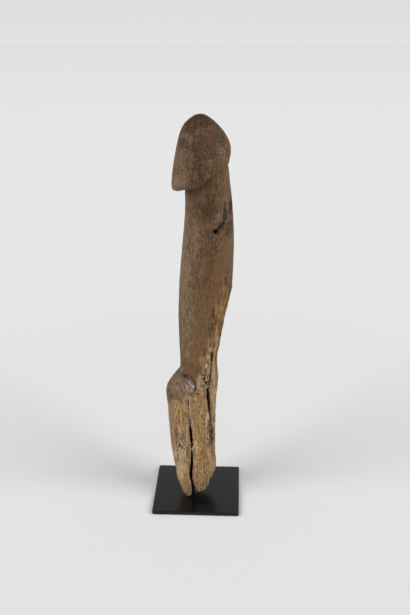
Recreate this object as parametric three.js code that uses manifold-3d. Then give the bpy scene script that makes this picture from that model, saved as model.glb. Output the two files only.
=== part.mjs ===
// A weathered hardwood carving of a phallus, standing on a steel pin over a square black steel plate.
// Millimetres, +Z up, origin at the centre of the plate's underside, the viewer's side towards -Y.

import * as THREE from 'three';
import { mergeVertices } from 'three/addons/utils/BufferGeometryUtils.js';
import Module from 'manifold-3d';

const { clamp, degToRad, lerp, radToDeg, smoothstep } = THREE.MathUtils;
const wasm = await Module();
wasm.setup();

// Driving dimensions of the mount
const PLATE_SIDE = 70;
const PLATE_THICKNESS = 3;
const PLATE_CORNER_RADIUS = 1.5;
const PLATE_BEVEL = 0.4;
const PIN_DIAMETER = 4;
const PIN_X = -4.3;
const PIN_TOP = 62;
const PIN_CLEARANCE = 0.3;
const PIN_SIDES = 24;

// Driving dimensions of the carving
const CARVING_TURN = degToRad(2.3); // it stands slightly turned on its plate
const SHAFT_TOP = 292; // the shaft runs on inside the head up to here
const HEAD_TOP = 314;
const LOWEST_TIP = 4; // the longest prong ends a millimetre above the plate
const CAVITY_ROOF = 20; // rotted hollow under the foot, where the pin goes in
const CAVITY_STEEPNESS = 2.2; // the hollow is flat in the middle and falls off towards the foot's edge
const CAVITY_RINGS = [0.22, 0.45, 0.66, 0.84]; // where its rings lie, as shares of the way to the edge

// Mesh density
const TRUNK_COLUMNS = 54;
const HEAD_COLUMNS = 44;
const HEAD_ROWS = 14;
const SMOOTH_ROW = 9;
const ROUGH_ROW = 3.5;
const ROUGH_TOP = 186; // rows are closer together below this height
const LEVEL_SHARE = 0.3; // rows follow the ragged foot's edge up to this share of the trunk's height

// The four sides of the trunk, each as [height, distance from the pin's plane] where the line bends
const LEFT_SIDE = [
  [0, -17.5], [28, -19.2], [50, -21.8], [75, -23.2], [90, -24.1], [94, -25.0], [98, -24.3],
  [103.5, -21.6], [109, -17.5], [114.5, -13.3], [122, -13.3], [160, -14.2], [190, -12.9],
  [218, -10.7], [246, -8.3], [262, -8.6], [SHAFT_TOP, -4],
];
const RIGHT_SIDE = [
  [0, 15.0], [30, 15.4], [84, 15.6], [100, 16.8], [126, 16.9], [135, 18.9], [150, 21.3],
  [163, 23.7], [173, 25.5], [180, 26.1], [183, 27.3], [200, 27.8], [218, 28.2],
  [236, 27.6], [258, 25.5], [280, 23.0], [SHAFT_TOP, 18],
];
const FRONT_SIDE = [
  [0, -15.0], [30, -16.6], [70, -17.6], [88, -18.9], [96, -18.6], [106, -16.3], [130, -16.8],
  [165, -18.4], [200, -19.0], [236, -18.6], [262, -17.2], [SHAFT_TOP, -12],
];
const BACK_SIDE = [
  [0, 13.0], [30, 15.0], [70, 16.4], [93, 18.0], [104, 17.0], [116, 15.6], [135, 16.6],
  [165, 18.2], [200, 19.4], [236, 19.0], [262, 17.6], [SHAFT_TOP, 12],
];
const TRUNK_AXIS = [
  [0, -3], [70, -3], [95, -2], [125, 1.4], [160, 5], [200, 7.8], [250, 8.8], [SHAFT_TOP, 7],
];

// How square the trunk's cross-section is at each height: 2 is an ellipse
const SQUARENESS = [[0, 2.7], [90, 2.5], [125, 2.25], [200, 2.15], [SHAFT_TOP, 2]];

// The plane along which the front right has split away: its facing, and how deep it bites at each height
const FRACTURE_FACING = new THREE.Vector2(1, 0).rotateAround(new THREE.Vector2(), degToRad(-27));
const FRACTURE_BITE = [[0, 1.6], [90, 2.2], [125, 3.2], [160, 2.0], [186, 0]];

// Where the rotted foot ends and where the sound skin begins, as [degrees round from +X, height]
const FOOT_EDGE = [
  [-180, 35], [-165, 33], [-155, 31], [-145, 26.5], [-135, 17.5], [-125, 10], [-115, 6],
  [-107, LOWEST_TIP], [-96, LOWEST_TIP], [-89, 8.5], [-72, 9.2], [-64, 9.2], [-55, 11.8], [-37, 15.2],
  [0, 17.5], [30, 19], [70, 15], [110, 17], [150, 29],
];
const SOUND_SKIN_EDGE = [
  [-180, 91], [-140, 90], [-105, 95], [-92, 104], [-80, 116], [-66, 130], [-45, 147], [-20, 170],
  [0, 182], [30, 180], [65, 160], [100, 134], [140, 102],
];

// Long grooves where the soft grain has rotted away: what is lost everywhere below the sound skin, and
// waves on top of it, as [waves round the trunk, drift in radians a millimetre up, phase, depth]
const ROT_DEPTH = 0.55;
const ROT_FADE = 10; // height over which the rot deepens below the sound skin's edge
const ROT_WAVES = [
  [6, 0.035, 0.6, 0.38], [11, -0.05, 2.1, 0.26], [16, -0.1, 1.6, 0.12], [22, 0.32, -1.6, 0.08],
];

// The head's outline seen from the front, from the rim's left end over the crown to its right end
const HEAD_OUTLINE = [
  [-17.9, 259.6], [-18.3, 263.5], [-16.6, 277.4], [-13.2, 295.2], [-8.2, 307.6], [2.5, HEAD_TOP],
  [11.8, 309.7], [20.2, 301.0], [24.6, 292.6], [25.2, 286.0], [24.2, 281.4],
];
const CROWN_SHARE = 0.595; // how far along that outline the crown lies
const HEAD_DEPTH_AT_RIM = 0.90; // depth over width of the head's sections
const HEAD_DEPTH_AT_CROWN = 0.96;
const RIM_ROUNDING = [[0.94, 1.9], [0.985, 0.9]]; // rings under the rim, as [size, drop]
const RIM_CONE = 8; // the underside runs inwards and down to this far below the rim

// Two splits in the foot, each as [height, left edge, right edge] seen from the front, and how far back
// it reaches
const FRONT_SPLIT = {
  edges: [
    [0, -4.1, 0.6], [11, -4.1, -0.4], [16, -3.6, -2.1], [19, -3.7, -2.4], [24.5, -5.3, -2.6],
    [34, -5.2, -2.9], [42, -4.9, -3.2], [50, -4.4, -3.7], [54, -4.8, -3.7], [62, -5.5, -4.0],
    [70, -5.9, -4.7], [79, -6.3, -6.0],
  ],
  floor: -4.5,
};
const SIDE_SPLIT = {
  edges: [
    [47, 11.0, 11.3], [60, 10.1, 11.0], [70, 9.3, 11.0], [82, 8.0, 10.5], [92, 7.4, 10.1],
    [102, 6.8, 9.4], [109, 8.8, 10.3], [118, 9.6, 11.2], [126, 10.4, 12.4], [133, 12.6, 13.0],
  ],
  floor: -3.5,
};
const SPLIT_START = -30; // well in front of the wood

// A nail hole high on the shaft's front right, narrower at its bottom
const HOLE = {
  mouth: [14.0, -17.0, 232.0],
  towards: [-0.45, 0.89, -0.05],
  radius: 1.5,
  bottomRadius: 0.9,
  depth: 6,
  overrun: 2, // it starts this far outside the skin
  sides: 12,
};

const WOOD = new THREE.MeshStandardMaterial({ name: 'weathered_wood', color: 0x6b4e38, roughness: 0.78 });
const BLACK_STEEL = new THREE.MeshStandardMaterial({
  name: 'black_steel', color: 0x1c1c1d, roughness: 0.32, metalness: 0.1,
});

// A smooth line through [position, value] pairs that never overshoots them
function through(points) {
  const last = points.length - 1;
  const rise = (i) => (points[i + 1][1] - points[i][1]) / (points[i + 1][0] - points[i][0]);
  const slope = points.map((_, i) => {
    if (i === 0 || i === last || rise(i - 1) * rise(i) <= 0) return 0;
    return 2 / (1 / rise(i - 1) + 1 / rise(i));
  });
  return (position) => {
    const x = clamp(position, points[0][0], points[last][0]);
    const i = points.findIndex(([next], at) => at > 0 && x <= next) - 1;
    const span = points[i + 1][0] - points[i][0];
    const t = (x - points[i][0]) / span;
    const [from, to] = [points[i][1], points[i + 1][1]];
    return from + (to - from) * t * t * (3 - 2 * t)
      + span * t * (1 - t) * (slope[i] * (1 - t) - slope[i + 1] * t);
  };
}

// The same all the way round the trunk, through [degrees, height] pairs, for a direction in radians
function around(pairs) {
  const turned = (turn) => pairs.map(([degrees, height]) => [degrees + turn, height]);
  const line = through([...turned(-360), ...pairs, ...turned(360)]);
  return (angle) => line(radToDeg(angle));
}

const left = through(LEFT_SIDE);
const right = through(RIGHT_SIDE);
const front = through(FRONT_SIDE);
const back = through(BACK_SIDE);
const axis = through(TRUNK_AXIS);
const squareness = through(SQUARENESS);
const fractureBite = through(FRACTURE_BITE);
const footEdge = around(FOOT_EDGE);
const soundSkinEdge = around(SOUND_SKIN_EDGE);

// How deep the rot has eaten into the skin
function weathering(angle, z) {
  const rotted = smoothstep(soundSkinEdge(angle) - z, 0, ROT_FADE);
  const wave = ([count, drift, phase, depth]) => depth * Math.sin(count * angle + drift * z + phase);
  return rotted * ROT_WAVES.reduce((lost, shape) => lost + wave(shape), ROT_DEPTH);
}

// A point on the trunk's skin: a squared ellipse, cut back at the fracture plane and worn by the rot
function skin(angle, z) {
  const [cos, sin] = [Math.cos(angle), Math.sin(angle)];
  const squared = (share) => Math.sign(share) * Math.abs(share) ** (2 / squareness(z));
  const reach = new THREE.Vector2(
    cos < 0 ? axis(z) - left(z) : right(z) - axis(z),
    sin < 0 ? -front(z) : back(z),
  );
  const point = new THREE.Vector2(squared(cos), squared(sin)).multiply(reach);
  const planeAt = reach.clone().multiply(FRACTURE_FACING).length() - fractureBite(z);
  const facing = point.dot(FRACTURE_FACING);
  if (facing > planeAt) point.multiplyScalar(planeAt / facing);
  point.setLength(point.length() - weathering(angle, z));
  return new THREE.Vector3(axis(z) + point.x, point.y, z);
}

// A closed mesh of rings with the same number of points, bottom to top, each counter-clockwise from above
function loft(rings, bottomPole, topPole) {
  const count = rings[0].length;
  const points = [bottomPole, ...rings.flat(), topPole];
  const at = (ring, i) => 1 + ring * count + (i % count);
  const faces = [];
  for (let i = 0; i < count; i++) {
    faces.push(0, at(0, i + 1), at(0, i));
    for (let ring = 0; ring < rings.length - 1; ring++) {
      faces.push(at(ring, i), at(ring, i + 1), at(ring + 1, i + 1));
      faces.push(at(ring, i), at(ring + 1, i + 1), at(ring + 1, i));
    }
    faces.push(at(rings.length - 1, i), at(rings.length - 1, i + 1), points.length - 1);
  }
  const geometry = new THREE.BufferGeometry().setFromPoints(points);
  geometry.setIndex(faces);
  return geometry;
}

// Directions round a loft, in radians
function directions(count) {
  return Array.from({ length: count }, (_, i) => ((2 * i) / count - 1) * Math.PI);
}

// Heights of the trunk's rows as shares of the way from the lowest tip to the top
function rowShares() {
  const heights = [];
  for (let z = LOWEST_TIP; z < ROUGH_TOP; z += ROUGH_ROW) heights.push(z);
  for (let z = ROUGH_TOP; z < SHAFT_TOP; z += SMOOTH_ROW) heights.push(z);
  heights.push(SHAFT_TOP);
  return heights.map((z) => (z - LOWEST_TIP) / (SHAFT_TOP - LOWEST_TIP));
}

// Shaft, shoulder and foot in one: the rows rise from the ragged foot, whose underside is hollow
function trunkGeometry() {
  const angles = directions(TRUNK_COLUMNS);
  const wall = rowShares().map((share) => angles.map((angle) => {
    const level = lerp(LOWEST_TIP, SHAFT_TOP, share);
    const followed = lerp(footEdge(angle), SHAFT_TOP, share);
    return skin(angle, lerp(followed, level, smoothstep(share, 0, LEVEL_SHARE)));
  }));
  const roof = new THREE.Vector3(PIN_X, 0, CAVITY_ROOF);
  const underside = CAVITY_RINGS.map((out) => wall[0].map((edge) => {
    const point = roof.clone().lerp(edge, out);
    return point.setZ(lerp(CAVITY_ROOF, edge.z, out ** CAVITY_STEEPNESS));
  }));
  const top = new THREE.Vector3(axis(SHAFT_TOP), 0, SHAFT_TOP + 1);
  return loft([...underside, ...wall], roof, top);
}

// The head: elliptical sections that start tilted at the rim and lean level towards the crown
function headGeometry() {
  const outline = new THREE.SplineCurve(HEAD_OUTLINE.map(([x, z]) => new THREE.Vector2(x, z)));
  const leftAt = (share) => outline.getPointAt(share * CROWN_SHARE);
  const rightAt = (share) => outline.getPointAt(1 - share * (1 - CROWN_SHARE));
  const angles = directions(HEAD_COLUMNS);
  const section = (share, size = 1, drop = 0) => {
    const middle = leftAt(share).lerp(rightAt(share), 0.5);
    const across = rightAt(share).sub(middle).multiplyScalar(size);
    const down = new THREE.Vector2(across.y, -across.x).setLength(drop);
    const depth = across.length() * lerp(HEAD_DEPTH_AT_RIM, HEAD_DEPTH_AT_CROWN, share);
    return angles.map((angle) => new THREE.Vector3(
      middle.x + across.x * Math.cos(angle) + down.x,
      depth * Math.sin(angle),
      middle.y + across.y * Math.cos(angle) + down.y,
    ));
  };
  const rings = RIM_ROUNDING.map(([size, drop]) => section(0, size, drop));
  for (let row = 0; row < HEAD_ROWS; row++) rings.push(section(row / HEAD_ROWS));
  const rim = leftAt(0).lerp(rightAt(0), 0.5);
  const crown = leftAt(1);
  return loft(rings, new THREE.Vector3(rim.x, 0, rim.y - RIM_CONE), new THREE.Vector3(crown.x, 0, crown.y));
}

// A tapering split: its outline as seen from the front, driven back into the wood
function splitGeometry({ edges, floor }) {
  const outline = [
    ...edges.map(([z, near]) => new THREE.Vector2(near, z)),
    ...edges.toReversed().map(([z, , far]) => new THREE.Vector2(far, z)),
  ];
  const geometry = new THREE.ExtrudeGeometry(new THREE.Shape(outline), {
    depth: floor - SPLIT_START, bevelEnabled: false,
  });
  return geometry.rotateX(Math.PI / 2).translate(0, floor, 0);
}

// A tapered round hole, from outside the skin to its bottom
function holeGeometry({ mouth, towards, radius, bottomRadius, depth, overrun, sides }) {
  const inwards = new THREE.Vector3(...towards).normalize();
  const turn = new THREE.Quaternion().setFromUnitVectors(new THREE.Vector3(0, 1, 0), inwards);
  const middle = new THREE.Vector3(...mouth).addScaledVector(inwards, (depth - overrun) / 2);
  const geometry = new THREE.CylinderGeometry(bottomRadius, radius, depth + overrun, sides);
  return geometry.applyQuaternion(turn).translate(...middle);
}

// An upright round rod on the pin's centre line
function rodGeometry(radius, bottom, top) {
  const geometry = new THREE.CylinderGeometry(radius, radius, top - bottom, PIN_SIDES);
  return geometry.rotateX(Math.PI / 2).translate(PIN_X, 0, (bottom + top) / 2);
}

// A closed three.js mesh as a solid that can be joined and cut
function solid(geometry) {
  const bare = geometry.clone();
  bare.deleteAttribute('normal');
  bare.deleteAttribute('uv');
  const merged = mergeVertices(bare);
  return new wasm.Manifold(new wasm.Mesh({
    numProp: 3,
    vertProperties: new Float32Array(merged.attributes.position.array),
    triVerts: new Uint32Array(merged.index.array),
  }));
}

// Such a solid as three.js geometry again
function geometryOf(manifold) {
  const { vertProperties, triVerts } = manifold.getMesh();
  const geometry = new THREE.BufferGeometry();
  geometry.setAttribute('position', new THREE.BufferAttribute(vertProperties, 3));
  geometry.setIndex(new THREE.BufferAttribute(triVerts, 1));
  geometry.computeVertexNormals();
  return geometry;
}

function named(name, geometry, material) {
  const mesh = new THREE.Mesh(geometry, material);
  mesh.name = name;
  return mesh;
}

// Head, shaft and foot are one piece of wood, split, nailed once and bored for the pin
function carving() {
  const bore = rodGeometry(PIN_DIAMETER / 2 + PIN_CLEARANCE, 0, PIN_TOP + PIN_CLEARANCE);
  const whole = solid(trunkGeometry())
    .add(solid(headGeometry()))
    .subtract(solid(splitGeometry(FRONT_SPLIT)))
    .subtract(solid(splitGeometry(SIDE_SPLIT)))
    .subtract(solid(holeGeometry(HOLE)))
    .subtract(solid(bore));
  return named('carving', geometryOf(whole), WOOD);
}

function supportPin() {
  return named('support_pin', rodGeometry(PIN_DIAMETER / 2, PLATE_THICKNESS, PIN_TOP), BLACK_STEEL);
}

function basePlate() {
  const inner = PLATE_SIDE / 2 - PLATE_BEVEL;
  const radius = PLATE_CORNER_RADIUS - PLATE_BEVEL;
  const outline = new THREE.Shape();
  [[1, -1], [1, 1], [-1, 1], [-1, -1]].forEach(([x, y], corner) => {
    const start = (corner - 1) * (Math.PI / 2);
    const centre = inner - radius;
    outline.absarc(x * centre, y * centre, radius, start, start + Math.PI / 2, false);
  });
  const geometry = new THREE.ExtrudeGeometry(outline, {
    depth: PLATE_THICKNESS - 2 * PLATE_BEVEL,
    bevelThickness: PLATE_BEVEL,
    bevelSize: PLATE_BEVEL,
    bevelSegments: 1,
    curveSegments: 3,
  });
  return named('base_plate', geometry.translate(0, 0, PLATE_BEVEL), BLACK_STEEL);
}

const turned = new THREE.Group();
turned.rotation.z = CARVING_TURN;
turned.add(carving(), supportPin());

const model = new THREE.Group();
model.add(basePlate(), turned);

export default model;
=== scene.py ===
import functools
import itertools
import math
from types import SimpleNamespace

import bpy
import numpy as np
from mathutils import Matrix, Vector


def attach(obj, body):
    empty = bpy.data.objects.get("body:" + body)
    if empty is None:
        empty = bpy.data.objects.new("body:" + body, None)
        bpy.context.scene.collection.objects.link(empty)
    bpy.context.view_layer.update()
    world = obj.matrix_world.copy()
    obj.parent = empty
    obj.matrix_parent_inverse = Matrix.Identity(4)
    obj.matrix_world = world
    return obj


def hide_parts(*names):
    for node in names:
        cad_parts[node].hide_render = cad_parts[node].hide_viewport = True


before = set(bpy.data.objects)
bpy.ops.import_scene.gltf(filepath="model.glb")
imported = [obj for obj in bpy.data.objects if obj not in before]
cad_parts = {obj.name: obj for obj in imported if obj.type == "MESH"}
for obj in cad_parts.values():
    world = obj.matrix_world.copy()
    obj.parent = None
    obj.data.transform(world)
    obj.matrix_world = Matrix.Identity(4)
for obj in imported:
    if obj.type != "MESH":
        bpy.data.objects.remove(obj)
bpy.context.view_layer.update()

MM = 0.001
CARVING_TURN = math.radians(2.3)

# The camera
CAMERA_AT = (0.0313, -0.6137, 0.4062)
CAMERA_LOOKS_AT = (0.0064, 0.0, 0.1662)
CAMERA_LENS = 50
CAMERA_SENSOR = 36

# The two softboxes, as degrees round from +X, degrees up and strength, how many degrees wide they look, and
# the room's own light
SOFTBOXES = {"left_softbox": (211, 36, 1.35), "right_softbox": (-23, 36, 1.45)}
SOFTBOX_WIDTH = 36
ROOM_LIGHT = 0.345

# The stage, in metres: a floor that runs a little way under the wall round it
FLOOR_MIDDLE = 0.0001
FLOOR_RADIUS = 5.0
FLOOR_OVERLAP = 0.05
WALL_BOTTOM = -0.1
WALL_HEIGHT = 3.4
STAGE_SIDES = 96

# How far from the middle the paper changes its shade near by and far off, and at what height the wall does
NEAR_PAPER = (0.25, 0.6)
FAR_PAPER = (1.5, FLOOR_RADIUS)
WALL_SHADING = (0.0, 0.3)

# How rough and how glossy the surfaces are, and how strong and how deep the bump in the wood is
SOUND_ROUGHNESS = 0.55
ROTTED_ROUGHNESS = 0.9
WOOD_GLOSS = 0.1
BUMP_STRENGTH = 0.7
BUMP_DEPTH = 0.3 * MM
STEEL_ROUGHNESS = (0.19, 0.23)
STEEL_GLOSS = 0.3
PAPER_ROUGHNESS = 0.9

# The growth rings: where the pith is, how far apart they are, and how far they wander, in millimetres
PITH = (-2, 3)
RING_SPACING = 1.5
RING_WANDER = 15
RING_WAVER = 4

# Mesh sizes, in millimetres, and the most triangles that the carving may have
VOXEL = 0.5
MOST_TRIANGLES = 190000

# Smoothing: each round draws the points in and lets them out again. The corner beside the fracture, which
# lies this many radians round from +X, is drawn in more. What stands above or below the mean of its
# surroundings, after a few rounds, is a crest or a hollow.
SMOOTHING_ROUNDS = 14
DRAWN_IN = 0.55
LET_OUT = -0.57
ROUNDING_ROUNDS = 70
ROUNDING_SHARE = 0.6
RELIEF_ROUNDS = 12
CORNER_BEARING = -0.75

# Where the parts of the carving begin and end in its own frame, each as the two ends of a smooth change
FRONT = (-4, 1)
CORNER_FOOT = (134, 142)
CORNER_TOP = (186, 194)
FOOT_TOP = (94, 130)
SPLIT_TOP = (126, 136)
SIDE_SPLIT = (3, 5)
CRUMBLED_TOP = (170, 200)
HEAD_FOOT = (254, 258)
RIM_TOP = (280, 284)
LOWER_LEFT = (-4, 12)

# How far over the rim's line its lighter lip, a painted highlight, runs, and how far under that line its
# painted shade does, in millimetres
LIP_HEIGHT = 2.2
RIM_SHADE_DROP = 1.5

# How ragged the sound skin's edge is, in millimetres: its lobes, its teeth and the tongues on the right
EDGE_LOBES = 4
EDGE_TEETH = 2.5
EDGE_TONGUES = 16
EDGE_FADE = 1.5
RIGHT_EDGE_FADE = 14

# How deep each kind of wear goes, and how far lumps and the chip stand up, in millimetres
OVERALL_WAVES = 0.22
SOUND_WEAR = {"furrows": 0.07, "pinholes": 0.14, "dents": 0.16, "checks": 0.35}
ROTTED_WEAR = {"grooves": 0.5, "ridges": 0.24, "hollows": 0.5, "crumbs": 0.14, "pits": 0.6}
CRUMBLED_HOLLOWS = 1.5
CRUMBLED_LUMPS = 0.55
TORN_WALLS = 0.55
DARK_HOLLOWS = 0.5
CHIP_RISE = 0.3

# The first seed of the patches, and how many seeds each kind takes
PATCH_SEED = 40
SEEDS_FOR_A_PATCH = 3

# The directions and rows in which the outermost wood is looked for, and a row's height in millimetres
SKIN_COLUMNS = 60
SKIN_ROWS = 80
SKIN_ROW = 4

# Noise repeats after this many cells, and this factor brings it to between about -1 and 1
NOISE_CELLS = 256
NOISE_REACH = 1.7

# The masks that the wood's material reads, and a Mix node's colour sockets
MASKS = (
    "rot", "foot", "dim", "worn", "dark", "ochre", "red", "pale", "line", "deep", "rim", "lip", "chip",
    "low", "high", "head",
)
MIX_UNDER, MIX_OVER, MIX_RESULT = 6, 7, 2

# The trunk's middle line, as height and distance to the right of the frame's middle
AXIS = ((0, -3), (70, -3), (95, -2), (125, 1.4), (160, 5), (200, 7.8), (250, 8.8), (285, 4), (314, 3))

# Where the sound skin ends and the rotted wood begins, as degrees round from +X and height
SOUND_SKIN_EDGE = (
    (-180, 91), (-140, 93), (-112, 98), (-100, 101), (-88, 107), (-81, 122), (-77, 140), (-71, 164),
    (-62, 184), (-45, 193), (-20, 194), (0, 190), (30, 180), (65, 160), (100, 134), (140, 102),
)

# The lower side of the head's rim, as x and z
RIM_LINE = ((-14, 257.5), (-8.5, 259.5), (0, 263), (7, 267.5), (12, 272), (17, 277.5), (24, 281))

# Cracks and tool marks as x, z points on the front, with their half width and depth
MARKS = (
    (((13.4, 232.2), (15.0, 231.8)), 1.5, 0.5),
    (((14.9, 233.2), (16.9, 234.4), (18.0, 235.9), (19.5, 236.8), (20.2, 239.2), (20.9, 240.9)), 0.95, 0.9),
    (((20.9, 240.9), (21.4, 244.5), (20.6, 248.5), (21.4, 251.5)), 0.9, 0.6),
    (((19.5, 235), (22.5, 237.5), (25.5, 236)), 1.1, 0.35),
    (((9.0, 230.0), (8.9, 227.9), (10.2, 226.4), (11.8, 227.6)), 0.5, 0.4),
    (((5.4, 193.8), (7.0, 196.4), (9.7, 197.8)), 0.6, 0.5),
    (((-6.8, 220.4), (-5.6, 217.6)), 0.7, 0.45),
    (((22.1, 195.0), (22.2, 189.8)), 0.8, 0.7),
    (((24.7, 253), (25.3, 248), (24.9, 243)), 1.0, 1.1),
    (((-6.5, 87), (-6.8, 95)), 0.5, 0.9),
    (((-6.2, 79), (-6.5, 87)), 0.45, 0.4),
    (((-6.2, 80), (-5.3, 70), (-4.7, 62), (-4.2, 54), (-4.1, 48), (-4.1, 36)), 0.8, 0.9),
    (((12.8, 171), (12.9, 164)), 1.0, 0.4),
    (((12.2, 160), (11.8, 154)), 0.9, 0.35),
    (((16.5, 180), (16.8, 168)), 0.8, 0.4),
    (((19.8, 184), (20.2, 172)), 0.8, 0.4),
    (((-10.6, 113.8), (-9.4, 114.0), (-7.4, 115.4), (-3.4, 112.3), (-1.2, 109.6), (-1.3, 103.2)), 0.7, 1.0),
    (((-2.9, 101.1), (0.6, 100.2), (4.1, 101.2)), 0.5, 0.2),
)

# Pale fibres that stand up where a chip has been torn from the shoulder, and the gaps between them, each as
# x, z points with a half width and a height or depth
FIBRES = (
    (((-7.0, 110.4), (-5.9, 109.0), (-5.2, 107.2)), 0.55, 0.5),
    (((-5.4, 109.8), (-3.9, 107.9), (-2.4, 104.8)), 0.7, 0.8),
    (((-8.3, 107.2), (-7.3, 105.2), (-6.9, 103.2)), 0.6, 0.35),
    (((-6.9, 104.2), (-5.2, 102.4), (-4.0, 101.9)), 0.6, 0.3),
    (((-6.2, 106.4), (-5.0, 105.2), (-3.6, 103.0)), 0.5, 0.5),
)
FIBRE_GAPS = (
    (((-7.8, 109.6), (-6.6, 108.4), (-5.8, 106.2)), 0.35, 0.5),
    (((-5.6, 107.6), (-4.2, 105.8), (-3.0, 104.0)), 0.35, 0.5),
    (((-6.4, 105.2), (-5.2, 103.4)), 0.35, 0.5),
    (((-3.0, 109.2), (-1.6, 107.0), (-1.2, 103.4)), 0.6, 0.9),
)

# How much of the split at the side is closed by torn wood, as height and millimetres on each wall
SPLIT_CLOSING = ((55, 1.6), (68, 1.5), (76, 0.8), (84, 0.35), (94, 0.3), (103, 0.7), (118, 0.4), (136, 0.2))

# Where the front's colour or relief departs from the wood around it, as x, z, half width, half height and
# strength. The unseen sides get patches of noise in their place.
PATCHES = {
    "dim": (
        (2, 312, 20, 9, 1.0), (-4, 319, 9, 6, 0.6), (3, 306, 7, 6, 0.5), (2, 286, 9, 22, 0.75),
        (9, 295, 8, 15, 0.6), (8, 249, 9, 12, 0.8), (6, 266, 9, 7, 0.6), (-4, 305, 8, 6, 0.7),
        (-3, 262, 8, 6, 0.6), (12, 156, 2, 12, 0.4), (17, 300, 7, 10, 0.5), (20, 286, 5, 8, 0.3),
        (11, 211, 4, 16, 0.3), (11, 232, 4.5, 5, 0.45), (4, 192, 6, 8, 0.25), (-11, 66, 1.6, 9, 0.3),
        (6, 47, 2, 14, 0.3), (-17, 62, 1.4, 10, 0.35), (9.5, 36, 1.5, 10, 0.3), (3.5, 94, 1.5, 6, 0.3),
        (12, 46, 2, 18, 0.25), (9.5, 82, 3, 8, 0.4), (-7, 47, 2, 7, 0.4),
    ),
    # Grey patina on the shoulder and round the hole, and painted side light and sheen on the shaft's left,
    # the foot's left edge and the head's sides
    "worn": (
        (18, 287, 4, 7, 0.5), (-12, 283, 5, 10, 0.45), (-13, 268, 7, 6, 0.75), (-9, 205, 7, 55, 0.8),
        (-1, 224, 3.5, 20, 0.7), (-7, 160, 7, 40, 0.7), (16, 240, 5, 8, 0.6), (21, 253, 3, 6, 0.5),
        (-15, 105, 11, 11, 1.0), (-20, 74, 3, 26, 0.4), (-13, 259, 8, 4, 0.6), (-6, 297, 6, 6, 0.35),
        (-4.5, 284, 3.5, 6, 0.5), (-3, 264, 7, 3, 0.4), (-11, 119, 3, 4, 0.5),
    ),
    "dark": (
        (-9.5, 294.5, 5, 5, 0.75), (-4.5, 293, 4, 5, 0.5), (-12, 302, 3, 6, 0.45), (24, 232.5, 4, 7, 0.75),
        (18.3, 236.4, 3.6, 4, 0.85), (21, 246, 2.4, 8, 0.7), (14.4, 232, 3, 2.8, 0.9),
        (25.2, 248, 1.6, 7, 0.7), (-9.5, 113.6, 3, 2, 0.8), (11.8, 56, 3.2, 11, 0.9), (8, 107, 2.6, 4, 0.6),
        (11.6, 126, 1.2, 5, 0.6), (10.2, 68, 1.6, 9, 0.7), (13.6, 40, 2, 8, 0.35), (-3.2, 106, 1.8, 5, 0.5),
    ),
    "ochre": (
        (-12.9, 267.8, 4.5, 3.5, 0.8), (22, 266, 2.5, 14, 0.5), (-11, 196, 5, 30, 0.55),
        (22, 218, 6, 14, 0.6), (17, 198, 6, 13, 0.7), (22, 184, 3, 6, 0.7), (3, 141, 9, 12, 0.9),
        (-4, 134, 6, 10, 0.6), (2, 128, 7, 6, 1.0), (13, 152, 6, 12, 0.8), (17, 176, 6, 18, 0.8),
        (4, 172, 9, 24, 0.6), (4, 152, 8, 12, 0.6), (2, 111, 6, 6, 0.8), (-13, 84, 4.5, 9, 0.9),
        (-12, 72, 4, 6, 0.6), (1.5, 90, 4.5, 9, 0.6), (2, 78, 3.4, 7, 1.0), (-1, 55, 3.2, 20, 0.9),
        (3, 62, 4, 8, 0.7), (6, 38, 8, 18, 0.75), (-11.5, 27, 5.5, 18, 1.0), (15.5, 118, 2.2, 16, 0.3),
        (9, 82, 3, 8, 0.5), (-7.5, 60, 2, 8, 0.6),
    ),
    "red": (
        (9, 299, 7, 7, 0.6), (15, 296, 5, 5, 0.4), (24.5, 240, 2, 6, 0.8), (9.8, 237, 2.5, 3.5, 0.6),
        (-4, 119, 6.5, 8, 0.9), (-7.8, 122, 1.8, 7, 0.5), (16, 206, 6, 14, 0.4), (6, 210, 7, 26, 0.5),
        (3, 248, 6, 12, 0.4), (-6, 182, 4, 12, 0.4), (12, 170, 6, 16, 0.4),
        (-19.5, 74, 3.2, 22, 0.9), (-14, 59, 7.5, 7, 0.8), (-5, 84, 2.4, 11, 0.9), (-1.5, 66, 1.6, 8, 0.4),
        (5, 30, 8, 12, 0.5), (-15, 104, 6, 5, 0.3),
    ),
    "pale": (
        (10.3, 136.9, 1.5, 1.8, 0.8), (7.2, 123.4, 2, 3.5, 0.9), (8.8, 129.9, 1.8, 3.5, 0.8),
        (4, 129, 4, 4, 0.4), (9.9, 120, 3, 5, 0.8), (2.2, 110, 3, 7, 0.6), (8, 76, 1.1, 10, 0.8),
        (-12, 46, 6.5, 6, 0.7), (-13.5, 30, 4, 17, 0.75), (2.8, 200, 1.2, 0.8, 0.6),
        (15.6, 116, 3.6, 28, 1.0), (5.5, 91, 1, 8, 0.6), (13.4, 86, 1.5, 10, 0.5), (-1, 52, 2, 16, 0.5),
        (-17.5, 42, 2, 6, 0.7), (-17, 88, 2, 8, 0.3), (-12, 67, 3, 5, 0.4), (10.5, 40, 3, 10, 0.3),
        (12, 32, 2.5, 6, 0.4),
    ),
    "crumbly": (
        (8.8, 127, 3.5, 10, 1.0), (7.6, 109, 4, 11, 1.0), (11.8, 56, 3, 10, 0.8), (-13, 52, 6, 9, 0.5),
        (7, 62, 3, 9, 0.5),
    ),
    "bridge": ((10.8, 121.5, 3.5, 1.6, 1.0), (9.8, 113.6, 3.5, 3.0, 1.0), (8, 104, 3, 1.2, 0.8)),
    "chip": ((-4.8, 106.6, 3.6, 5, 1.0),),
}

# Where the wood stands further over than in the solid, as x, z, half width, half height and millimetres
SHIFTS = ((-8, 22, 13, 17, -1.4), (12, 27, 7, 10, 1.5))

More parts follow.
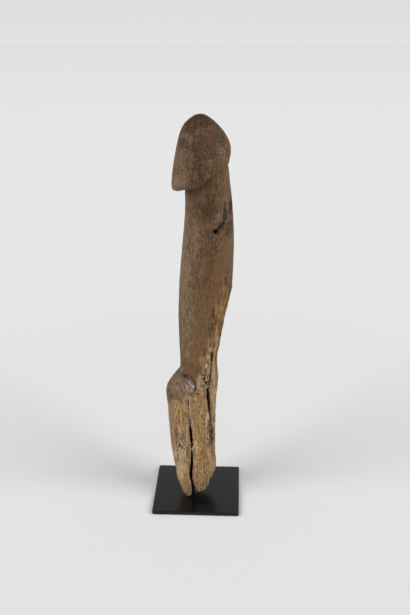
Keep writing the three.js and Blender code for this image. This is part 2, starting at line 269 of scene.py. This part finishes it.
# Colours, as seen in even white light: the wood's, the steel's, the paper's and the wall's
SOUND_DARK = (0.053, 0.029, 0.014, 1)
SOUND_LIGHT = (0.225, 0.130, 0.068, 1)
SOUND_RED = (0.175, 0.080, 0.043, 1)
SOUND_DIM = (0.029, 0.017, 0.010, 1)
# A worn grey that also serves for painted side light and sheen, and for the lip's painted highlight
WORN_AND_LIT = (0.31, 0.225, 0.148, 1)
BARE_DARK = (0.085, 0.040, 0.017, 1)
BARE_LIGHT = (0.46, 0.26, 0.12, 1)
FOOT_DARK = (0.125, 0.062, 0.025, 1)
FOOT_LIGHT = (0.56, 0.335, 0.135, 1)
OCHRE = (0.29, 0.155, 0.058, 1)
FOOT_OCHRE = (0.57, 0.315, 0.062, 1)
RED = (0.20, 0.082, 0.042, 1)
FOOT_PINK = (0.40, 0.225, 0.145, 1)
PALE = (0.72, 0.55, 0.34, 1)
ASH = (0.78, 0.69, 0.60, 1)
STAIN = (0.035, 0.018, 0.009, 1)
RIM_SHADE = (0.075, 0.041, 0.019, 1)
HOLLOW = (0.066, 0.030, 0.012, 1)
# Dark stain and painted shade deep in the splits
SPLIT_STAIN_AND_SHADE = (0.070, 0.026, 0.013, 1)
SOOT = (0.036, 0.025, 0.019, 1)
PITCH = (0.013, 0.007, 0.005, 1)
BLACK = (0.006, 0.006, 0.0062, 1)
PAPER_NEAR = (0.89, 0.89, 0.89, 1)
PAPER = (0.915, 0.915, 0.915, 1)
PAPER_FAR = (0.85, 0.85, 0.85, 1)
WALL_LOW = (0.76, 0.76, 0.76, 1)
WALL_HIGH = (0.715, 0.715, 0.715, 1)


def above(value, none, full):
    """0 up to one value and 1 from the other, with a smooth rise between them."""
    share = np.clip((value - none) / (full - none), 0, 1)
    return share * share * (3 - 2 * share)


def below(value, full, none):
    """1 up to one value and 0 from the other, with a smooth fall between them."""
    return above(-value, -none, -full)


def along(pairs, position, period=None):
    """The value at each position on the straight lines between the pairs."""
    places, values = zip(*pairs)
    return np.interp(position, places, values, period=period)


def noise(points, seed):
    """Smooth random values between about -1 and 1, one lattice cell for each unit of length."""
    draw = np.random.default_rng(seed)
    order = draw.permutation(NOISE_CELLS)
    slopes = draw.normal(size=(NOISE_CELLS, 3))
    slopes /= np.linalg.norm(slopes, axis=1)[:, None]
    cell = np.floor(points).astype(int)
    local = points - cell
    fade = local ** 3 * (local * (local * 6 - 15) + 10)
    total = np.zeros(len(points))
    for corner in itertools.product((0, 1), repeat=3):
        x, y, z = ((cell + corner) % NOISE_CELLS).T
        slope = slopes[order[(order[(order[x] + y) % NOISE_CELLS] + z) % NOISE_CELLS]]
        weight = np.prod(np.where(corner, fade, 1 - fade), axis=1)
        total += weight * np.einsum("ij,ij->i", slope, local - corner)
    return total * NOISE_REACH


def grain(points, across, length, seed):
    """Noise drawn out along the trunk: cells this many millimetres across and this long."""
    return noise(points / (across, across, length), seed)


def own_frame(points):
    """Row frame in metres to the carving's own frame in millimetres."""
    cos, sin = math.cos(CARVING_TURN), math.sin(CARVING_TURN)
    x, y, z = points.T / MM
    return np.column_stack([cos * x + sin * y, cos * y - sin * x, z])


def bearing(own):
    """The direction of each point from the trunk's middle line, in radians round from +X."""
    x, y, z = own.T
    return np.arctan2(y, x - along(AXIS, z))


def read(mesh_data, field, width, kind):
    """One field of a mesh's vertices or edges, as rows of this many numbers."""
    flat = np.zeros(len(mesh_data) * width, kind)
    mesh_data.foreach_get(field, flat)
    return flat.reshape(-1, width)


def place(mesh, points):
    mesh.vertices.foreach_set("co", points.astype(np.float32).ravel())
    mesh.update()


def spread(values, edges, share, rounds):
    """Each value moves this share of the way to the mean of its neighbours, so many times over."""
    one, other = edges.T
    count = np.bincount(edges.ravel(), minlength=len(values))
    for _ in range(rounds):
        sums = np.stack([
            np.bincount(one, column[other], len(values)) + np.bincount(other, column[one], len(values))
            for column in values.T
        ], axis=1)
        values = values + share * (sums / count[:, None] - values)
    return values


def applied(piece, kind, **settings):
    """Gives the piece the mesh that one modifier makes of it."""
    modifier = piece.modifiers.new(kind.lower(), kind)
    for name, value in settings.items():
        setattr(modifier, name, value)
    evaluated = piece.evaluated_get(bpy.context.evaluated_depsgraph_get())
    mesh = bpy.data.meshes.new_from_object(evaluated)
    piece.modifiers.clear()
    piece.data = mesh


def near_line(points, line):
    """How far each point is, seen from the front, from a line through x, z points."""
    flat = points[:, (0, 2)]
    nearest = np.full(len(points), 1e9)
    for start, end in itertools.pairwise(np.array(line, float)):
        step = end - start
        share = np.clip((flat - start) @ step / (step @ step), 0, 1)
        gap = flat - start - share[:, None] * step
        nearest = np.minimum(nearest, np.hypot(*gap.T))
    return nearest


def drawn(own, lines, uneven=1.0):
    """How strongly each point lies on one of these lines, and how deep the lines go there."""
    beads = above(grain(own, across=1.5, length=2.0, seed=20), -0.35, 0.3)
    thinned = 1 - uneven * 0.65 * (1 - beads)
    wobble = uneven * grain(own, across=1.6, length=1.6, seed=21)
    strength = np.zeros(len(own))
    total = np.zeros(len(own))
    for points, half, depth in lines:
        beside = np.maximum(near_line(own, points) + half * wobble, 0)
        reach = thinned * np.exp(-(beside / half) ** 2)
        total = np.maximum(total, depth * reach)
        strength = np.maximum(strength, reach * min(1, 0.2 + depth))
    return strength, total


def reach_of(own, x, z, half_width, half_height):
    """How far out each point lies in an ellipse seen from the front: 0 in its middle and 1 on its edge."""
    return np.hypot((own[:, 0] - x) / half_width, (own[:, 2] - z) / half_height)


def patched(own, patches, seed):
    """How strongly each point lies in one of these patches with wandering outlines, seen from the front."""
    total = np.zeros(len(own))
    wandering = 0.55 * grain(own, across=3.2, length=7, seed=seed)
    wandering += 0.25 * grain(own, across=1.1, length=3, seed=seed + 1)
    for *ellipse, strength in patches:
        total = np.maximum(total, strength * below(reach_of(own, *ellipse) + wandering, 0.35, 1.15))
    return total


def depth_below_skin(own):
    """How far in each point lies from the outermost wood in its direction, in millimetres."""
    x, y, z = own.T
    radius = np.hypot(x - along(AXIS, z), y)
    turn = np.degrees(bearing(own)) + 180
    column = (turn // (360 / SKIN_COLUMNS)).astype(int) % SKIN_COLUMNS
    row = np.clip(z // SKIN_ROW, 0, SKIN_ROWS - 1).astype(int)
    outermost = np.zeros((SKIN_COLUMNS, SKIN_ROWS))
    np.maximum.at(outermost, (column, row), radius)
    return outermost[column, row] - radius


def fine_copy():
    """The carving's solid as a new piece with a fine, even mesh."""
    piece = bpy.data.objects.new("carving_wood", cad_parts["carving"].data.copy())
    bpy.context.scene.collection.objects.link(piece)
    applied(piece, "REMESH", mode="VOXEL", voxel_size=VOXEL * MM)
    return piece


def smoothed(points, edges):
    """The points without the steps of the solid's faces, and with the corner beside the fracture rounded."""
    for _ in range(SMOOTHING_ROUNDS):
        points = spread(points, edges, DRAWN_IN, 1)
        points = spread(points, edges, LET_OUT, 1)
    own = own_frame(points)
    height = own[:, 2]
    corner = above(np.cos(bearing(own) - CORNER_BEARING), 0.5, 0.8)
    corner *= above(height, *CORNER_FOOT) * below(height, *CORNER_TOP)
    rounded = spread(points, edges, ROUNDING_SHARE, ROUNDING_ROUNDS)
    return points + corner[:, None] * (rounded - points)


def shifted(points):
    """The points with the prongs of the foot moved aside."""
    own = own_frame(points)
    aside = sum(distance * below(reach_of(own, *ellipse), 0.2, 1) for *ellipse, distance in SHIFTS)
    return points + np.outer(aside * MM, (1, 0, 0))


def regions(own):
    """Where the front, the rotted wood, the foot and the head are, and the rim's painted highlight and
    painted shade, as 0 to 1 at each point.
    """
    x, y, z = own.T
    angle = bearing(own)
    right = above(np.cos(angle), -0.15, 0.5)
    ragged = (
        EDGE_LOBES * grain(own, across=6, length=12, seed=1)
        + EDGE_TEETH * grain(own, across=2.5, length=6, seed=12)
        + EDGE_TONGUES * right * grain(own, across=2.4, length=38, seed=16)
    )
    skin_edge = along(SOUND_SKIN_EDGE, np.degrees(angle), period=360)
    front = below(y, *FRONT)
    over_rim = z - along(RIM_LINE, x)
    # The lower left of the lip gets a painted highlight, broken up by noise
    lip_highlight = below(x, *LOWER_LEFT) * above(grain(own, across=3, length=3, seed=24), -0.5, 0.3)
    return {
        "front": front,
        "rot": above(skin_edge + ragged - z, 0, EDGE_FADE + RIGHT_EDGE_FADE * right),
        "foot": below(z - 0.6 * ragged, *FOOT_TOP),
        "lip": front * lip_highlight * below(np.abs(over_rim - LIP_HEIGHT), 0.4, 2.6),
        # Painted shade in a band just under the rim's line
        "rim": below(np.abs(over_rim + RIM_SHADE_DROP), 0.8, 5.5) * below(z, *RIM_TOP),
        "head": above(over_rim, 0, 3) * above(z, *HEAD_FOOT),
    }


def add_patches(mask, own):
    """Adds a mask for each kind of patch: as listed on the front, and from noise on the unseen sides."""
    front, rot = mask["front"], mask["rot"]
    for number, (name, patches) in enumerate(PATCHES.items()):
        seed = PATCH_SEED + SEEDS_FOR_A_PATCH * number
        unseen = 0.5 * above(grain(own, across=8, length=22, seed=seed + 2), 0.2, 0.8)
        if name == "pale":
            unseen = unseen * rot
        mask[name] = front * patched(own, patches, seed) + (1 - front) * unseen
    mask["chip"] *= front
    mask["bridge"] *= front
    mask["crumbly"] *= np.maximum(rot, 0.4 * front) * below(own[:, 2], *CRUMBLED_TOP)
    mask["hollow"] = mask["crumbly"] * above(crumbs(own), 0.02, 0.42)
    mask["dark"] = np.maximum(mask["dark"], 0.85 * mask["hollow"])


def crumbs(own):
    """Lumps and hollows of crumbled wood."""
    return grain(own, across=1.7, length=2.9, seed=15)


def worn_down(own, mask):
    """How far the surface sinks below the smooth solid, in millimetres."""
    rot = mask["rot"]
    long_checks = np.exp(-(grain(own, across=2.4, length=34, seed=11) / 0.04) ** 2)
    long_grooves = np.exp(-(grain(own, across=2.4, length=30, seed=4) / 0.10) ** 2)
    sound = {
        "furrows": grain(own, across=1.2, length=8, seed=3),
        "pinholes": above(grain(own, across=1.0, length=1.6, seed=8), 0.4, 0.8),
        "dents": np.abs(grain(own, across=6, length=9, seed=9)),
        "checks": long_checks * above(grain(own, across=7, length=40, seed=10), 0.1, 0.5),
    }
    rotted = {
        "grooves": long_grooves * above(grain(own, across=4, length=14, seed=13), -0.35, 0.3),
        "ridges": grain(own, across=1.15, length=18, seed=5),
        "hollows": grain(own, across=3.4, length=16, seed=7),
        "crumbs": grain(own, across=1.2, length=2.4, seed=14),
        "pits": above(grain(own, across=1.7, length=3.8, seed=6), 0.4, 0.75)
        * above(grain(own, across=9, length=20, seed=18), -0.05, 0.5),
    }
    sunk = OVERALL_WAVES * grain(own, across=14, length=22, seed=2) * (1 - 0.5 * rot)
    sunk += (1 - rot) * sum(depth * sound[kind] for kind, depth in SOUND_WEAR.items())
    sunk += rot * sum(depth * rotted[kind] for kind, depth in ROTTED_WEAR.items())
    sunk += CRUMBLED_HOLLOWS * mask["hollow"]
    return sunk - CRUMBLED_LUMPS * mask["crumbly"] * above(-crumbs(own), 0.05, 0.45)


def torn_walls(own, mask, below_skin):
    """How far the walls of the splits sink: they are torn, and the side split is partly closed."""
    x, _, z = own.T
    inside = above(below_skin, 0.6, 2.0) * below(z, *SPLIT_TOP)
    closing = along(SPLIT_CLOSING, z) + mask["bridge"]
    torn = TORN_WALLS * grain(own, across=2.0, length=4.0, seed=19)
    return inside * torn - inside * above(x, *SIDE_SPLIT) * closing


def add_lines(mask, own):
    """Adds masks for the cracks and the chip's fibres, and gives how far the surface sinks for them."""
    front = mask["front"]
    crack, crack_depth = drawn(own, MARKS)
    fibre, fibre_height = drawn(own, FIBRES, uneven=0.6)
    gap, gap_depth = drawn(own, FIBRE_GAPS, uneven=0.3)
    sunk = front * (crack_depth + gap_depth - fibre_height) - CHIP_RISE * mask["chip"]
    mask["line"] = front * np.maximum(crack, 0.6 * gap)
    mask["chip"] = np.maximum(0.3 * mask["chip"], front * fibre)
    return sunk


def carve():
    """The carving: the solid's form as a fine mesh, worn down, with the masks that its material reads."""
    piece = fine_copy()
    mesh = piece.data
    edges = read(mesh.edges, "vertices", 2, np.int32)
    points = read(mesh.vertices, "co", 3, np.float32).astype(float)
    points = shifted(smoothed(points, edges))
    place(mesh, points)
    own = own_frame(points)
    below_skin = depth_below_skin(own)

    mask = regions(own)
    add_patches(mask, own)
    sunk = worn_down(own, mask) + torn_walls(own, mask, below_skin) + add_lines(mask, own)
    sunk += DARK_HOLLOWS * mask["dark"] * mask["rot"]
    outwards = read(mesh.vertices, "normal", 3, np.float32)
    place(mesh, points - outwards * sunk[:, None] * MM)

    relief = sunk - spread(sunk[:, None], edges, ROUNDING_SHARE, RELIEF_ROUNDS)[:, 0]
    mask["low"] = above(relief, 0.05, 0.7)
    mask["high"] = above(-relief, 0.02, 0.3)
    # How far into the splits each point lies, for their dark stain and painted shade
    mask["deep"] = above(below_skin, 1.5, 5.0) * below(own[:, 2], *SPLIT_TOP) * (1 - 0.7 * mask["bridge"])
    for name in MASKS:
        attribute = mesh.attributes.new(name, "FLOAT", "POINT")
        attribute.data.foreach_set("value", mask[name].astype(np.float32))

    triangles = sum(len(face.vertices) - 2 for face in mesh.polygons)
    if triangles > MOST_TRIANGLES:
        applied(piece, "DECIMATE", ratio=MOST_TRIANGLES / triangles)
    piece.data.shade_smooth()
    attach(piece, "root")
    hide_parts("carving")
    return piece


class Nodes:
    """A material's node tree, with short calls for the nodes that it needs."""

    def __init__(self, name):
        self.material = bpy.data.materials.new(name)
        self.material.use_nodes = True
        self.tree = self.material.node_tree

    def add(self, kind, inputs=(), **settings):
        node = self.tree.nodes.new("ShaderNode" + kind)
        for name, value in settings.items():
            setattr(node, name, value)
        for key, value in dict(inputs).items():
            self.give(node.inputs[key], value)
        return node

    def give(self, socket, value):
        if isinstance(value, bpy.types.NodeSocket):
            self.tree.links.new(value, socket)
        else:
            socket.default_value = value

    def shaded(self, inputs):
        """The finished material, with these inputs on its shader."""
        for name, value in inputs.items():
            self.give(self.tree.nodes["Principled BSDF"].inputs[name], value)
        return self.material

    def place(self):
        return self.add("TexCoord").outputs["Object"]

    def attribute(self, name):
        return self.add("Attribute", attribute_name=name).outputs["Fac"]

    def math(self, operation, first, second=0.0):
        return self.add("Math", {0: first, 1: second}, operation=operation).outputs[0]

    def times(self, *shares):
        return functools.reduce(functools.partial(self.math, "MULTIPLY"), shares)

    def without(self, share):
        return self.math("SUBTRACT", 1.0, share)

    def stretch(self, value, low, high, to_low=0.0, to_high=1.0):
        inputs = {"Value": value, "From Min": low, "From Max": high, "To Min": to_low, "To Max": to_high}
        return self.add("MapRange", inputs).outputs[0]

    def run(self, value, start, end):
        """From one number to another, as the value goes from 0 to 1."""
        return self.stretch(value, 0, 1, start, end)

    def blend(self, share, first, second):
        return self.add("Mix", {"Factor": share, "A": first, "B": second}).outputs[0]

    def paint(self, under, over, *shares):
        """One colour over another, as strongly as these shares make when multiplied."""
        inputs = {"Factor": self.times(*shares), MIX_UNDER: under, MIX_OVER: over}
        return self.add("Mix", inputs, data_type="RGBA").outputs[MIX_RESULT]

    def grain(self, across, length, detail=3.0, roughness=0.55, seed=0.0):
        """Noise drawn out along the trunk, cells this many millimetres across and this long."""
        scale = (1 / (across * MM), 1 / (across * MM), 1 / (length * MM))
        mapping = {"Vector": self.place(), "Scale": scale, "Location": (seed, seed, seed)}
        vector = self.add("Mapping", mapping).outputs[0]
        inputs = {"Vector": vector, "Scale": 1.0, "Detail": detail, "Roughness": roughness}
        return self.add("TexNoise", inputs).outputs["Fac"]

    def rings(self):
        """Thin late wood between the growth rings, as 0 to 1."""
        flat = self.add("VectorMath", {0: self.place(), 1: (1, 1, 0)}, operation="MULTIPLY").outputs[0]
        pith = Vector((*PITH, 0)) * MM
        radius = self.add("VectorMath", {0: flat, 1: pith}, operation="DISTANCE").outputs["Value"]
        wander = self.run(self.grain(12, 34, seed=61), 0, RING_WANDER * MM)
        waver = self.run(self.grain(4, 12, seed=71), 0, RING_WAVER * MM)
        phase = self.math("ADD", radius, self.math("ADD", wander, waver))
        wave = self.math("SINE", self.times(phase, 2 * math.pi / (RING_SPACING * MM)))
        return self.stretch(wave, 0.25, 0.9)


def figures(nodes, head):
    """The wood's patterns, each as 0 to 1: noise of several sizes, hairline checks and growth rings."""
    drawn_out = nodes.grain(1.2, 3.6, detail=4, roughness=0.6, seed=3)
    pebbled = nodes.grain(1.3, 1.5, detail=4, roughness=0.6, seed=3)
    off_check = nodes.math("ABSOLUTE", nodes.math("SUBTRACT", nodes.grain(2.6, 34, seed=51), 0.5))
    return SimpleNamespace(
        mottle=nodes.stretch(nodes.blend(head, drawn_out, pebbled), 0.40, 0.60),
        speck=nodes.stretch(nodes.grain(1.1, 1.5, seed=11), 0.50, 0.66),
        broad=nodes.stretch(nodes.grain(4, 9, seed=9), 0.40, 0.60),
        streak=nodes.stretch(nodes.grain(1.8, 16, seed=17), 0.38, 0.62),
        fibre=nodes.stretch(nodes.grain(0.5, 13, detail=4, roughness=0.6, seed=41), 0.36, 0.62),
        blotch=nodes.stretch(nodes.grain(2.2, 7, detail=4, roughness=0.6, seed=29), 0.38, 0.62),
        pore=nodes.stretch(nodes.grain(0.7, 1.2, seed=23), 0.58, 0.70),
        ash=nodes.stretch(nodes.grain(0.9, 5, seed=2), 0.36, 0.54, 0.3, 1),
        check=nodes.stretch(off_check, 0.0, 0.012, 1, 0),
        ring=nodes.rings(),
    )


def sound_colour(nodes, mask, figure):
    """The smooth brown skin: mottled, streaked below the head, with dark hairline checks."""
    below_head = nodes.without(mask.head)
    colour = nodes.paint(SOUND_DARK, SOUND_LIGHT, 0.85, figure.mottle)
    colour = nodes.paint(colour, SOUND_RED, 0.38, figure.broad)
    colour = nodes.paint(colour, OCHRE, 0.25, figure.streak, below_head)
    colour = nodes.paint(colour, WORN_AND_LIT, 0.45, figure.speck)
    colour = nodes.paint(colour, OCHRE, 0.55, mask.ochre)
    colour = nodes.paint(colour, SOUND_DARK, nodes.run(mask.head, 0.32, 0.12), figure.fibre)
    return nodes.paint(colour, STAIN, 0.7, figure.broad, below_head, figure.check)


def rotted_colour(nodes, mask, figure):
    """The bare wood: brown streaks above, and ochre, pink and pale blotches with rings on the foot."""
    upper = nodes.paint(BARE_DARK, BARE_LIGHT, figure.streak, nodes.run(figure.fibre, 1, 0.6))
    upper = nodes.paint(upper, BARE_LIGHT, mask.ochre, nodes.run(figure.streak, 0.2, 0.8))
    foot = nodes.paint(FOOT_DARK, FOOT_LIGHT, figure.blotch)
    foot = nodes.paint(foot, FOOT_LIGHT, 0.35, figure.streak)
    foot = nodes.paint(foot, FOOT_PINK, 0.6, figure.broad)
    foot = nodes.paint(foot, FOOT_OCHRE, mask.ochre, nodes.run(figure.blotch, 0.4, 0.9))
    foot = nodes.paint(foot, FOOT_PINK, mask.red, nodes.run(figure.blotch, 0.45, 0.8))
    foot = nodes.paint(foot, FOOT_DARK, 0.4, figure.fibre)
    foot = nodes.paint(foot, FOOT_DARK, 0.55, figure.ring)
    colour = nodes.paint(upper, foot, mask.foot)
    colour = nodes.paint(colour, PALE, 0.5, figure.speck, mask.foot)
    crest = nodes.paint(BARE_LIGHT, PALE, mask.foot)
    return nodes.paint(colour, crest, 0.6, mask.high)


def weathered(nodes, colour, mask, figure):
    """The wood's colour with its stains, worn places, hollows, splits and cracks, and painted light and
    shade.
    """
    not_foot = nodes.without(nodes.times(mask.foot, mask.rot))
    colour = nodes.paint(colour, RED, 0.55, mask.red, not_foot)
    colour = nodes.paint(colour, SOUND_DIM, 0.75, mask.dim)
    # Grey patina, and painted side light and sheen on the sides of the shaft and the head
    colour = nodes.paint(colour, WORN_AND_LIT, mask.worn, nodes.run(figure.mottle, 0.15, 0.8))
    # Painted highlight: a lighter band along the lower left of the head's rim
    colour = nodes.paint(colour, WORN_AND_LIT, 0.5, mask.lip)
    colour = nodes.paint(colour, PALE, mask.pale, nodes.run(figure.blotch, 0.35, 1))
    colour = nodes.paint(colour, STAIN, 0.6, figure.pore)
    colour = nodes.paint(colour, SOOT, mask.dark, nodes.run(figure.speck, 0.95, 0.5))
    colour = nodes.paint(colour, RIM_SHADE, 0.3, mask.rim)
    colour = nodes.paint(colour, HOLLOW, mask.low, nodes.run(mask.rot, 0.4, 0.5))
    # Deep in the splits: dark stain and painted shade, near black where deepest
    colour = nodes.paint(colour, SPLIT_STAIN_AND_SHADE, 0.85, mask.deep)
    colour = nodes.paint(colour, PITCH, nodes.stretch(mask.deep, 0.5, 1, 0, 0.85))
    colour = nodes.paint(colour, ASH, mask.chip, figure.ash)
    return nodes.paint(colour, PITCH, 0.9, mask.line)


def wood():
    nodes = Nodes("weathered_wood")
    mask = SimpleNamespace(**{name: nodes.attribute(name) for name in MASKS})
    figure = figures(nodes, mask.head)
    colour = nodes.paint(sound_colour(nodes, mask, figure), rotted_colour(nodes, mask, figure), mask.rot)
    grooves = nodes.times(-0.4, figure.fibre, nodes.without(mask.head))
    sound_height = nodes.math("ADD", nodes.times(0.5, figure.mottle), grooves)
    furrows = nodes.math("ADD", nodes.times(1.2, figure.fibre), nodes.times(0.8, figure.ring))
    rotted_height = nodes.math("SUBTRACT", figure.blotch, furrows)
    height = nodes.blend(mask.rot, sound_height, rotted_height)
    bump = nodes.add("Bump", {"Height": height, "Strength": BUMP_STRENGTH, "Distance": BUMP_DEPTH})
    return nodes.shaded({
        "Base Color": weathered(nodes, colour, mask, figure),
        "Roughness": nodes.run(mask.rot, SOUND_ROUGHNESS, ROTTED_ROUGHNESS),
        "Specular IOR Level": WOOD_GLOSS,
        "Normal": bump.outputs[0],
    })


def black_steel():
    nodes = Nodes("black_steel")
    cloud = nodes.grain(9, 9, seed=5)
    return nodes.shaded({
        "Base Color": BLACK,
        "Roughness": nodes.stretch(cloud, 0.3, 0.7, *STEEL_ROUGHNESS),
        "Specular IOR Level": STEEL_GLOSS,
    })


def pale_paper():
    nodes = Nodes("paper")
    away = nodes.add("VectorMath", {0: nodes.place()}, operation="LENGTH").outputs["Value"]
    colour = nodes.paint(PAPER_NEAR, PAPER, nodes.stretch(away, *NEAR_PAPER))
    colour = nodes.paint(colour, PAPER_FAR, nodes.stretch(away, *FAR_PAPER))
    return nodes.shaded({"Base Color": colour, "Roughness": PAPER_ROUGHNESS, "Specular IOR Level": 0.0})


def bright_wall():
    nodes = Nodes("backdrop")
    up = nodes.add("SeparateXYZ", {0: nodes.place()}).outputs["Z"]
    return nodes.shaded({
        "Base Color": BLACK,
        "Specular IOR Level": 0.0,
        "Emission Color": nodes.paint(WALL_LOW, WALL_HIGH, nodes.stretch(up, *WALL_SHADING)),
        "Emission Strength": 1.0,
    })


def turned(name, profile, material):
    """A surface of revolution from radius and height pairs."""
    angles = [2 * math.pi * side / STAGE_SIDES for side in range(STAGE_SIDES)]
    points = [
        (radius * math.cos(angle), radius * math.sin(angle), height)
        for radius, height in profile for angle in angles
    ]

    def corner(ring, side):
        return ring * STAGE_SIDES + side % STAGE_SIDES

    faces = [
        (corner(ring, side), corner(ring, side + 1), corner(ring + 1, side + 1), corner(ring + 1, side))
        for ring in range(len(profile) - 1) for side in range(STAGE_SIDES)
    ]
    mesh = bpy.data.meshes.new(name)
    mesh.from_pydata(points, [], faces)
    mesh.materials.append(material)
    surface = bpy.data.objects.new(name, mesh)
    surface.visible_shadow = False
    bpy.context.scene.collection.objects.link(surface)
    return surface


def make_stage():
    """Pale paper on the floor, and a bright wall all round that shows in gloss but lights nothing."""
    turned("paper", [(FLOOR_MIDDLE, 0), (FLOOR_RADIUS + FLOOR_OVERLAP, 0)], pale_paper())
    wall = turned("backdrop", [(FLOOR_RADIUS, WALL_BOTTOM), (FLOOR_RADIUS, WALL_HEIGHT)], bright_wall())
    wall.visible_diffuse = False


def softbox(name, azimuth, elevation, strength):
    """Even light from one side, as soft as a large softbox's."""
    data = bpy.data.lights.new(name, "SUN")
    data.angle = math.radians(SOFTBOX_WIDTH)
    data.energy = strength
    light = bpy.data.objects.new(name, data)
    turn, tilt = math.radians(azimuth), math.radians(elevation)
    towards = Vector((math.cos(turn) * math.cos(tilt), math.sin(turn) * math.cos(tilt), math.sin(tilt)))
    light.rotation_euler = (-towards).to_track_quat("-Z", "Y").to_euler()
    bpy.context.scene.collection.objects.link(light)


def make_lights():
    for name, settings in SOFTBOXES.items():
        softbox(name, *settings)
    world = bpy.data.worlds.new("room")
    world.use_nodes = True
    room = world.node_tree.nodes["Background"]
    room.inputs["Color"].default_value = (1, 1, 1, 1)
    room.inputs["Strength"].default_value = ROOM_LIGHT
    bpy.context.scene.world = world
    bpy.context.scene.view_settings.view_transform = "Standard"


def make_camera():
    data = bpy.data.cameras.new("camera")
    data.lens = CAMERA_LENS
    data.sensor_width = CAMERA_SENSOR
    camera = bpy.data.objects.new("camera", data)
    camera.location = CAMERA_AT
    look = Vector(CAMERA_LOOKS_AT) - Vector(CAMERA_AT)
    camera.rotation_euler = look.to_track_quat("-Z", "Y").to_euler()
    bpy.context.scene.collection.objects.link(camera)
    bpy.context.scene.camera = camera


def finish_with(thing, material):
    thing.data.materials.clear()
    thing.data.materials.append(material)


make_camera()
make_stage()
make_lights()
finish_with(carve(), wood())
steel = black_steel()
for name in ("support_pin", "base_plate"):
    finish_with(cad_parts[name], steel)
